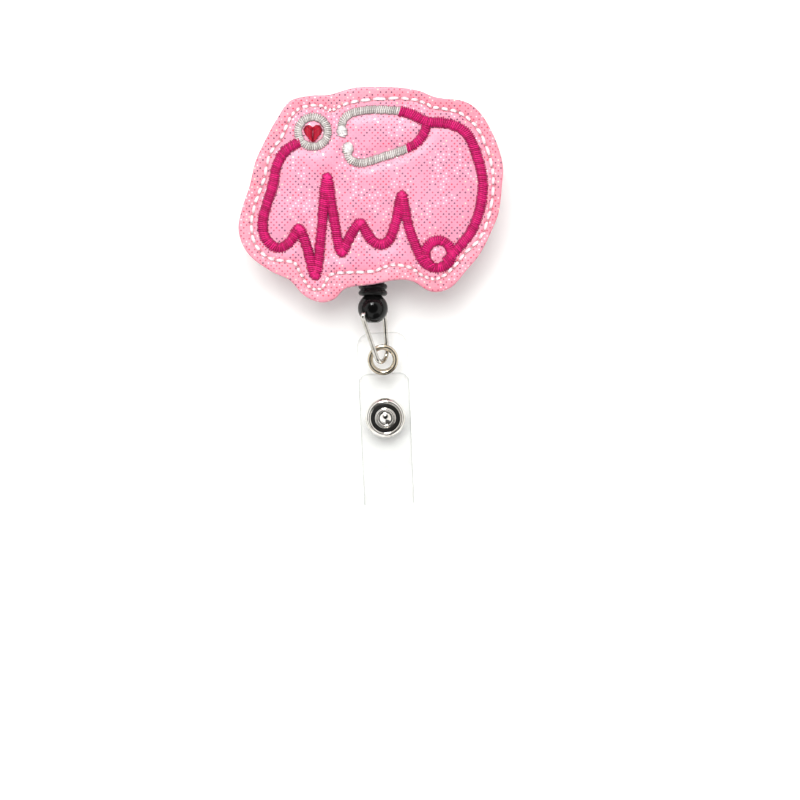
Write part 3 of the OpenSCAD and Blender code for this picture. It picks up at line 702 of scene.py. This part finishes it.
def cushion(soup, path, width, height, closed=False, lift=NO_LIFT):
    """The padding under satin stitches: a low swept dome that closes the gaps, coloured in the
    thread's dark tone as painted shade between the strands.
    """
    centres = resample(path, 0.45, closed)
    _, normals = directions(centres, closed)
    start, count = len(soup.verts), len(centres)
    for i in range(count):
        up = lift_at(lift, i, count)
        section = [(u, up * (1 - abs(u) ** 6) + height * (1 - abs(u) ** 2.4) ** 0.8 - 0.12)
                   for u in np.linspace(-1, 1, 7)] + [(1, -0.2), (-1, -0.2)]
        for u, z in section:
            x, y = centres[i] + normals[i] * (u * width / 2 * 0.93)
            soup.point(np.array([x, y, FACE_TOP + z]), (i * 0.8, u), 1.0)
    size = len(section)
    for i in range(count if closed else count - 1):
        a, b = start + i * size, start + ((i + 1) % count) * size
        for j in range(size):
            k = (j + 1) % size
            soup.faces.append((a + j, b + j, b + k, a + k))
    if not closed:
        last = start + (count - 1) * size
        soup.faces.append(tuple(range(start, start + size)))
        soup.faces.append(tuple(range(last, last + size))[::-1])


def padded(soup, path, pad, satin_size, seed, closed=False, lift=NO_LIFT, slant=0.16):
    """Satin over its cushion; each size is a width in mm and a share of the satin height."""
    cushion(soup, path, pad[0], SATIN * pad[1], closed, lift)
    satin(soup, path, satin_size[0], SATIN * satin_size[1], seed,
          closed=closed, lift=lift, slant=slant)


def sew(soup, name, colour, *cad_nodes):
    fit(soup.object(name, THREADS[colour]), "case", colour, *cad_nodes)


# the tube line's far end climbs over its own loop
end_lift = NO_LIFT.copy()
end_lift[-16:] = np.linspace(0, 0.34, 16)
soup = Soup()
padded(soup, tube_line, (2.05, 0.62), (2.12, 1), seed=11, lift=end_lift)
sew(soup, "satin_tube_thread", "thread_tube", "satin_tube")

# the rise starts on top of that loop
start_lift = NO_LIFT.copy()
start_lift[:14] = np.linspace(0.4, 0.0, 14)
soup = Soup()
padded(soup, rise_line, (2.05, 0.62), (2.12, 1), seed=12, lift=start_lift)
padded(soup, yoke_line, (1.95, 0.58), (2.0, 0.95), seed=13)
sew(soup, "satin_rise_thread", "thread_tube")

soup = Soup()
padded(soup, ear_a_line, (1.6, 0.55), (1.72, 0.9), seed=14)
padded(soup, ear_b_line, (1.6, 0.55), (1.72, 0.9), seed=15)
padded(soup, ring_line, (1.55, 0.55), (1.66, 0.92), seed=16, closed=True, slant=0.12)
sew(soup, "satin_silver_thread", "thread_silver", "satin_silver")


def tip_width(f):
    return 2.4 * math.sqrt(1 - (2 * f - 1) ** 2 * 0.8)


soup = Soup()
for k, tip in enumerate(TIPS):
    satin(soup, np.array(tip), tip_width, SATIN * 0.95, seed=21 + k, base=FACE_TOP + 0.06,
          pitch=0.27, slant=0.1)
sew(soup, "satin_tip_thread", "thread_white", "satin_white")


def heart_stitches():
    """Two lobes of slanting stitches that meet on the heart's centre line."""
    soup = Soup()
    rnd = random.Random(31)
    centre = RING_CENTRE + np.array([0, -0.25])
    outline = np.array(HEART) * 1.04
    for side in (-1, 1):
        slope = np.array([side * math.cos(0.7), math.sin(0.7)])
        for y in np.arange(-2.3, 1.05, 0.25):
            run = np.array([np.array([side * 0.02, y]) + slope * q
                            for q in np.arange(0, 3.4, 0.05)])
            within = run[inside(outline, run)]
            if len(within) < 6:
                continue
            first, last = within[0], within[-1]
            soup.tube([(*(centre + first + (last - first) * u),
                        FACE_TOP - 0.1 + SATIN * 0.9 * (1 - abs(2 * u - 1) ** 3) ** 0.7
                        + rnd.uniform(-0.02, 0.02)) for u in np.linspace(0, 1, 8)],
                      0.16, ends=True)
    return soup


sew(heart_stitches(), "satin_heart_thread", "thread_heart", "satin_heart")


def edge_stitches():
    """Running stitch between needle holes: a doubled thread on the face and on the back."""
    soup = Soup()
    rnd = random.Random(41)
    for a, b in zip(needle_holes, np.roll(needle_holes, -1, 0)):
        along = unit(b - a)
        across = np.array([-along[1], along[0]])
        for on_face in (True, False):
            start = a + along * rnd.uniform(0.24, 0.36)
            end = b - along * rnd.uniform(0.24, 0.36)
            twist, shift = rnd.uniform(-0.09, 0.09), rnd.uniform(-0.04, 0.04)
            fat = rnd.uniform(0.93, 1.07)
            hump = (0.47 if on_face else 0.34) * fat
            for ply, raised in ((-0.15, 0), (0.15, 0.02)):
                path = []
                for u in np.linspace(0, 1, 10):
                    height = hump * math.sin(math.pi * u) ** 0.5 + raised
                    spread = ply * math.sin(math.pi * min(max(u, 0.1), 0.9)) ** 0.5
                    place = start + (end - start) * u \
                        + across * (spread + twist * (2 * u - 1) + shift)
                    path.append((*place, FACE_TOP - 0.24 + height if on_face
                                 else BACKING_BOTTOM + 0.2 - height))
                soup.tube(path, 0.185 * fat, sides=7)
        # the lower thread, pulled up a little through the needle hole
        reach = rnd.choice((-1, 1)) * rnd.uniform(0.3, 0.42)
        first = len(soup.ends)
        soup.tube([(*(a + across * reach * v + along * 0.1 * v * v),
                    FACE_TOP - 0.12 + 0.12 * (1 - v * v)) for v in np.linspace(-1, 1, 6)], 0.13)
        soup.ends[first:] = [1.0] * (len(soup.ends) - first)
    return soup


sew(edge_stitches(), "edge_stitch_thread", "thread_edge", "edge_stitching")


# ---------------------------------------------------------------- wire link
def link_path():
    """The closed wire, as (along the link axis, from the strap joint towards the link joint)."""
    half_width, corner, bend = 4.1, 0.7, 2.1   # bend: radius round the strap joint end
    bend_y = -(np.linalg.norm(STRAP_JOINT - LINK_JOINT) - bend)
    lean = math.asin((half_width - bend) / math.hypot(half_width - bend * 0.97, bend_y + corner))
    corner_x = half_width - corner
    half = [(2.3, 0.0), (2.8, 0.0), (corner_x, 0.0)]
    half += [(corner_x + corner * math.cos(math.radians(a)),
              -corner + corner * math.sin(math.radians(a))) for a in range(80, -1, -10)]
    x0, y0 = half[-1]
    x1, y1 = bend * math.cos(-lean), bend_y + bend * math.sin(-lean)
    half += [(x0 + (x1 - x0) * f, y0 + (y1 - y0) * f) for f in np.linspace(0.12, 0.94, 12)]
    half += [(bend * math.cos(a), bend_y + bend * math.sin(a))
             for a in np.linspace(-lean, -math.pi / 2, 14)]
    return half + [(-x, y) for x, y in half[-2::-1]]


link_up = unit(LINK_JOINT - STRAP_JOINT)
soup = Soup()
soup.tube([LINK_JOINT + LINK_AXIS * x + link_up * y for x, y in link_path()], 0.5, sides=20)
link = soup.object("wire_link_bent", metal(
    "wire_nickel", srgb(230, 226, 220), srgb(200, 194, 184), rough=0.1, grain=(0.4, 3, 3),
    bump=0.03, vary=0.08, rim=0.75))
fit(link, "link", "wire", "wire_link")

# ---------------------------------------------------------------- clear strap
# One strip, bent at the card loop. Its own frame has the grommet at the origin, the strap
# running to -y and the front layer on the +z side of the back one.
STRAP_TURN, STRAP_LEAN = math.radians(2.5), math.radians(9)
STRAP_WIDTH, STRAP_THICK, LAYER_GAP = 11.0, 0.5, 1.1
LAYER_RISE = STRAP_THICK + LAYER_GAP
FOLD_RADIUS = LAYER_RISE / 2
FOLD_Y = -32.4 + FOLD_RADIUS + STRAP_THICK / 2
BACK_END_Y, FRONT_END_Y, SNAP_Y = 6, -2.7, -12.4
GROMMET = np.array([2.1, -34.9, 0.3 - FOLD_Y * math.sin(STRAP_LEAN)])
cos_turn, sin_turn = math.cos(STRAP_TURN), math.sin(STRAP_TURN)
cos_lean, sin_lean = math.cos(STRAP_LEAN), math.sin(STRAP_LEAN)
STRAP_ROTATION = (np.array([[cos_turn, -sin_turn, 0], [sin_turn, cos_turn, 0], [0, 0, 1]])
                  @ np.array([[1, 0, 0], [0, cos_lean, -sin_lean], [0, sin_lean, cos_lean]]))
BACK_LENGTH = BACK_END_Y - FOLD_Y
FOLD_LENGTH = math.pi * LAYER_RISE / 2
FRONT_START = BACK_LENGTH + FOLD_LENGTH
STRIP_LENGTH = FRONT_START + (FRONT_END_Y - FOLD_Y)


def on_strap(point):
    return GROMMET + STRAP_ROTATION @ np.array(point, float)


def strip_point(across, along, outward):
    """A point of the strip; along starts at the grommet end, outward is off its middle."""
    if along <= BACK_LENGTH:
        return on_strap((across, BACK_END_Y - along, -outward))
    if along <= FRONT_START:
        a = -math.pi / 2 - (along - BACK_LENGTH) / FOLD_RADIUS
        r = FOLD_RADIUS + outward
        return on_strap((across, FOLD_Y + r * math.cos(a), FOLD_RADIUS + r * math.sin(a)))
    return on_strap((across, FOLD_Y + (along - FRONT_START), LAYER_RISE + outward))


def strip_outline(back_radius, front_radius):
    half = STRAP_WIDTH / 2
    points = []
    for x, y, r, a in ((half - back_radius, back_radius, back_radius, -90),
                       (half - front_radius, STRIP_LENGTH - front_radius, front_radius, 0),
                       (-half + front_radius, STRIP_LENGTH - front_radius, front_radius, 90),
                       (-half + back_radius, back_radius, back_radius, 180)):
        points += [(x + r * math.cos(math.radians(a + q)), y + r * math.sin(math.radians(a + q)))
                   for q in range(0, 91, 9)]
    return resample(np.array(points), 0.5, closed=True)


def build_strap():
    outline = strip_outline(back_radius=3.0, front_radius=2.2)
    # place along the strip, radius
    holes = [(BACK_END_Y, 2.47), (BACK_END_Y - SNAP_Y, 1.05),
             (FRONT_START + (SNAP_Y - FOLD_Y), 2.35)]
    loops = [outline] + [circle((0, s), r, 40) for s, r in holes]
    side = STRAP_WIDTH / 2 - 0.35
    rows = np.r_[np.arange(0.4, BACK_LENGTH - 0.3, 0.8),
                 np.linspace(BACK_LENGTH - 0.3, FRONT_START + 0.3, 22),
                 np.arange(FRONT_START + 0.9, STRIP_LENGTH, 0.8)]
    grid_x, grid_s = np.meshgrid(np.linspace(-side, side, 13), rows)
    grid = np.c_[grid_x.ravel(), grid_s.ravel()]
    grid = grid[inside(outline, grid)]
    for s, r in holes:
        grid = grid[np.hypot(grid[:, 0], grid[:, 1] - s) > r + 0.25]
    borders, start = [], 0
    for loop in loops:
        n = len(loop)
        borders += [(start + i, start + (i + 1) % n) for i in range(n)]
        start += n
    mesh = delaunay_2d_cdt([Vector(p) for p in np.vstack(loops + [grid])], borders, [], 1, 1e-6)
    points = np.array([tuple(v) for v in mesh[0]])
    triangles = []
    for tri in mesh[2]:
        x, s = points[list(tri)].mean(0)
        if all(math.hypot(x, s - hole) > r * 0.995 for hole, r in holes):
            triangles.append(tuple(tri))
    used = sorted({i for tri in triangles for i in tri})
    renumber = {old: new for new, old in enumerate(used)}
    points = points[used]
    triangles = [tuple(renumber[i] for i in tri) for tri in triangles]

    to_rim = near(points, resample(outline, 0.1, closed=True))
    # the sheet thins a little at its outer rim
    half_thick = STRAP_THICK / 2 - np.clip(1 - to_rim / 0.2, 0, 1) * 0.06
    top, bottom = ([strip_point(x, s, sign * h) for (x, s), h in zip(points, half_thick)]
                   for sign in (1, -1))
    strap = slab("clear_strap", top, bottom, triangles, clear_vinyl(), smooth=False)
    # painted shade along the cut edge, used by the film's material
    rim = np.exp(-(to_rim / 0.22) ** 2)
    attribute(strap, "rim", np.r_[rim, rim])
    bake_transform(strap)
    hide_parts("strap_back", "strap_fold", "strap_front")


build_strap()


# ---------------------------------------------------------------- turned metal parts on the strap
def fillet(profile, radius):
    """Rounds the corners of a closed (radius, height) profile."""
    steps = 3
    out, n = [], len(profile)
    for i in range(n):
        p, a, b = (np.array(profile[k % n], float) for k in (i, i - 1, i + 1))
        to_a, to_b = np.linalg.norm(a - p), np.linalg.norm(b - p)
        turn = abs(np.cross((p - a) / (to_a + 1e-9), (b - p) / (to_b + 1e-9)))
        if p[0] < 1e-6 or turn < 0.25:
            out.append(p)
            continue
        cut = min(radius, to_a * 0.4, to_b * 0.4)
        start, end = p + (a - p) / to_a * cut, p + (b - p) / to_b * cut
        for k in range(steps + 1):
            f = k / steps
            out.append((1 - f) ** 2 * start + 2 * f * (1 - f) * p + f * f * end)
    return out


def lathe(name, profile, centre_y, material):
    """A closed profile turned round the strap's normal at a point on its centre line."""
    sides = 96
    verts, faces = [], []
    n = len(profile)
    for j in range(sides):
        a = 2 * math.pi * j / sides
        verts += [on_strap((r * math.cos(a), centre_y + r * math.sin(a), h)) * MM
                  for r, h in profile]
        k = (j + 1) % sides
        for i in range(n):
            following = (i + 1) % n
            if profile[i][0] < 1e-6 and profile[following][0] < 1e-6:
                continue   # an edge on the axis sweeps no face
            faces.append((j * n + i, k * n + i, k * n + following, j * n + following))
    ob = make(name, verts, faces, material)
    bm = bmesh.new()
    bm.from_mesh(ob.data)
    bmesh.ops.remove_doubles(bm, verts=bm.verts, dist=1e-7)
    bmesh.ops.dissolve_degenerate(bm, edges=bm.edges, dist=1e-8)
    bmesh.ops.recalc_face_normals(bm, faces=bm.faces)
    bm.to_mesh(ob.data)
    bm.free()
    ob.modifiers.new("split", "EDGE_SPLIT").split_angle = math.radians(50)
    return ob


EYELET_METAL = metal("eyelet_nickel", srgb(214, 203, 184), srgb(188, 175, 154), rough=0.24,
                     bump=0.05, rim=0.55)
SNAP_METAL = metal("snap_nickel", srgb(238, 235, 230), srgb(220, 215, 208), rough=0.06,
                   bump=0.02, vary=0.06, rim=0.6)
# profiles: radius, height above the middle of the strap's back layer
EYELET = [(2.1, -0.62), (2.2, -0.74), (2.72, -0.74), (2.97, -0.62), (2.92, -0.53),
          (2.42, -0.53), (2.42, 0.26), (3.17, 0.26)]
EYELET += [(3.2 + 0.11 * math.cos(math.radians(a)), 0.40 + 0.11 * math.sin(math.radians(a)))
           for a in range(-90, 51, 28)]   # the rolled lip
EYELET += [(3.14, 0.56), (3.0, 0.635), (2.84, 0.66), (2.64, 0.62), (2.46, 0.52), (2.3, 0.36),
           (2.2, 0.18), (2.13, -0.05)]
WASHER = [(2.44, -0.51), (3.1, -0.51), (3.32, -0.4), (3.32, -0.26), (2.44, -0.26)]
CAP = [(2.35, 1.86), (4.2, 1.86), (4.32, 1.98), (4.3, 2.14), (4.18, 2.36), (3.98, 2.6),
       (3.76, 2.78), (3.6, 2.85), (3.48, 2.83), (3.38, 2.68), (3.32, 2.52), (3.22, 2.46),
       (2.24, 2.44), (2.14, 2.5), (2.04, 2.62), (1.92, 2.71), (1.8, 2.73), (1.68, 2.7),
       (1.56, 2.6), (1.46, 2.48), (1.24, 2.47), (1.17, 2.5), (1.06, 2.58), (0.78, 2.72),
       (0.48, 2.85), (0.24, 2.93), (0.1, 2.955), (0.0, 2.96), (0.0, 2.36), (2.35, 2.36)]
for name, profile, rounding, y, material, body, slot, cad_node in (
        ("eyelet_rolled", EYELET, 0.06, 0, EYELET_METAL, "strap", "eyelet_metal", "grommet"),
        ("eyelet_back_ring", WASHER, 0.05, 0, EYELET_METAL, "strap", "eyelet_metal",
         "grommet_washer"),
        ("snap_cap_pressed", CAP, 0.03, SNAP_Y, SNAP_METAL, "flap", "snap_metal", "snap_cap")):
    fit(lathe(name, fillet(profile, rounding), y, material), body, slot, cad_node)

# ---------------------------------------------------------------- cord
CORD = cord_braid()


def build_cord():
    """Braided cord from inside the case, straight down -Y to just short of the link joint."""
    sides = 20
    curve = catmull([[4.18, -12.41], [1.5, -14.3], [0.3, -15.5], [0, -16.3]], 10)
    straight = [(0, y) for y in np.linspace(-16.5, LINK_JOINT[1] + 1.2, 70)]
    path = np.array([(x, y, CORD_Z) for x, y in [*curve, *straight]])
    verts = []
    for i, (p, tangent) in enumerate(zip(path, unit(np.gradient(path, axis=0)))):
        side = unit(np.cross(tangent, [0, 0, 1.0]))
        up = np.cross(side, tangent)
        for k in range(sides):
            a = 2 * math.pi * k / sides
            # two crossing waves make the braid's relief
            r = 0.43 + 0.02 * math.sin(4 * a + i * 0.9) * math.sin(4 * a - i * 0.9)
            verts.append((p + r * (math.cos(a) * side + math.sin(a) * up)) * MM)
    cord = make("cord_braid_lead", verts, tube_faces(0, len(path), sides), CORD)
    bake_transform(cord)
    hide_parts("cord_lead")


build_cord()

# ---------------------------------------------------------------- finishes for the CAD nodes
CASE = plastic("case_black", srgb(26, 26, 27), srgb(36, 35, 36), rough=0.3, coat=0.2)
STOP = plastic("stop_black", srgb(14, 14, 14), srgb(26, 25, 25), rough=0.24, coat=0.05,
               specular=0.18)
BEAD = plastic("bead_black", srgb(10, 10, 10), srgb(20, 19, 19), rough=0.12, coat=0.08,
               bump=0.03, specular=0.2)
SPOOL = plastic("spool_white", srgb(232, 230, 222), srgb(216, 213, 204), rough=0.5)
SPRING = metal("spring_steel", srgb(150, 153, 160), srgb(112, 112, 118), rough=0.34,
               grain=(1, 1, 6))
CLIP = metal("clip_nickel", srgb(216, 214, 208), srgb(204, 201, 194), rough=0.22,
             grain=(6, 0.35, 6), bump=0.08, vary=0.25)
GLUE = plastic("glue_pad", srgb(224, 216, 186), srgb(206, 196, 164), rough=0.6)
BACKING = felt("backing_felt", srgb(222, 128, 154), srgb(248, 186, 202), srgb(196, 98, 128))
FINISHES = {   # CAD node: material, bevel width in mm
    "case_rear": (CASE, 0.12), "case_front": (CASE, 0.12),
    "spool": (SPOOL, 0.06), "spring_cover": (SPOOL, 0.05), "mainspring": (SPRING, 0),
    "cord_winding": (CORD, 0), "cord_knot": (CORD, 0), "cord_stop": (STOP, 0.04),
    "bead": (BEAD, 0.06), "snap_post": (SNAP_METAL, 0.06), "snap_stud": (SNAP_METAL, 0.05),
    "snap_socket": (SNAP_METAL, 0.04), "clip_rivet": (CLIP, 0.08), "clip_frame": (CLIP, 0.07),
    "clip_lever": (CLIP, 0.05), "clip_pin": (CLIP, 0.1), "clip_spring": (SPRING, 0),
    "glue_pad": (GLUE, 0.08), "topper_backing": (BACKING, 0.16)}
for name, (material, bevel_width) in FINISHES.items():
    ob = frame["nodes"][name]
    ob.data.materials.clear()
    ob.data.materials.append(material)
    for polygon in ob.data.polygons:
        polygon.material_index = 0
        polygon.use_smooth = True
    ob.modifiers.new("weld", "WELD").merge_threshold = 1e-6
    if bevel_width:
        bevel = ob.modifiers.new("bevel", "BEVEL")
        bevel.width = bevel_width * MM
        bevel.segments = 2
        bevel.limit_method = "ANGLE"
        bevel.angle_limit = math.radians(38)
        bevel.use_clamp_overlap = True
    ob.modifiers.new("split", "EDGE_SPLIT").split_angle = math.radians(34)

# ---------------------------------------------------------------- stage, light, camera (metres)
floor_z = -0.0003
make("floor", [(x, y, floor_z) for x, y in ((-3, -3), (3, -3), (3, 3), (-3, 3))],
              [(0, 1, 2, 3)], floor_white(), smooth=False)

# name, place, size, watts, whether it shows only in reflections (or only in diffuse light)
for name, place, size, power, shine in (
        ("key", (-0.05, 0.19, 0.66), (0.46, 0.40), 4.6, False),
        ("fill", (0.45, -0.15, 0.50), (0.4, 0.5), 0.4, False),
        ("side", (-0.5, -0.1, 0.42), (0.3, 0.5), 0.5, False),
        ("softbox", (-0.07, 0.32, 0.52), (0.26, 0.20), 1.5, True),
        ("window", (-0.09, 0.27, 0.50), (0.06, 0.06), 0.5, True),
        ("under", (0.1, -0.1, -0.5), (0.5, 0.5), 1.0, False)):
    light = bpy.data.lights.new(name, "AREA")
    light.shape = "RECTANGLE"
    light.size, light.size_y = size
    light.energy = power
    lamp = bpy.data.objects.new(name, light)
    lamp.location = place
    aim = Vector((0, -0.02, 0)) - Vector(place)
    lamp.rotation_euler = aim.to_track_quat("-Z", "Y").to_euler()
    bpy.context.scene.collection.objects.link(lamp)
    lamp.visible_glossy, lamp.visible_diffuse = shine, not shine


def build_world():
    """Even soft light, with a separate room that only reflections see."""
    world = bpy.data.worlds.new("studio")
    world.use_nodes = True
    t = Nodes(world.node_tree)
    soft = t.node("Background", {0: (1, 0.995, 0.99, 1), 1: 0.37})
    incoming = t.node("NewGeometry").outputs["Incoming"]
    # 0 is straight down, 1 straight up: dark ceiling round the camera, bright walls lower down
    height = t.math("MULTIPLY_ADD", t.xyz(incoming)[2], -0.5, 0.5)
    walls = t.node("ValToRGB", {0: height})
    walls.color_ramp.interpolation = "EASE"
    stops = [(0.0, 0.75), (0.43, 0.8), (0.50, 0.2), (0.58, 0.28), (0.68, 0.95), (0.85, 0.95),
             (0.915, 0.05), (1.0, 0.015)]   # height, brightness
    elements = walls.color_ramp.elements
    while len(elements) < len(stops):
        elements.new(0.5)
    for element, (position, value) in zip(elements, stops):
        element.position = position
        element.color = (value, value, value * 0.99, 1)
    # a round dark patch, raised on the -Y, +X side; incoming points from it to the object
    toward = t.node("VectorMath", {0: incoming, 1: (-0.373, 0.844, -0.385)},
                    operation="DOT_PRODUCT").outputs["Value"]
    patch = t.ramp(toward, math.cos(math.radians(27)), math.cos(math.radians(17)), 0.0, 0.93)
    room = t.node("Background", {0: t.mix(patch, walls.outputs[0], (0.03, 0.03, 0.03, 1)),
                                 1: 1.35})
    reflected = t.node("LightPath").outputs["Is Glossy Ray"]
    both = t.node("MixShader", {0: reflected, 1: soft.outputs[0], 2: room.outputs[0]})
    t.node("OutputWorld", {0: both.outputs[0]})
    bpy.context.scene.world = world


build_world()

camera_data = bpy.data.cameras.new("camera")
camera_data.sensor_width = 36
camera_data.lens = 75.825
camera_data.clip_start, camera_data.clip_end = 0.01, 10
camera = bpy.data.objects.new("camera", camera_data)
camera.location = (0.0058, -0.0436, 0.370)
bpy.context.scene.collection.objects.link(camera)
bpy.context.scene.camera = camera
bpy.context.scene.view_settings.view_transform = "Standard"
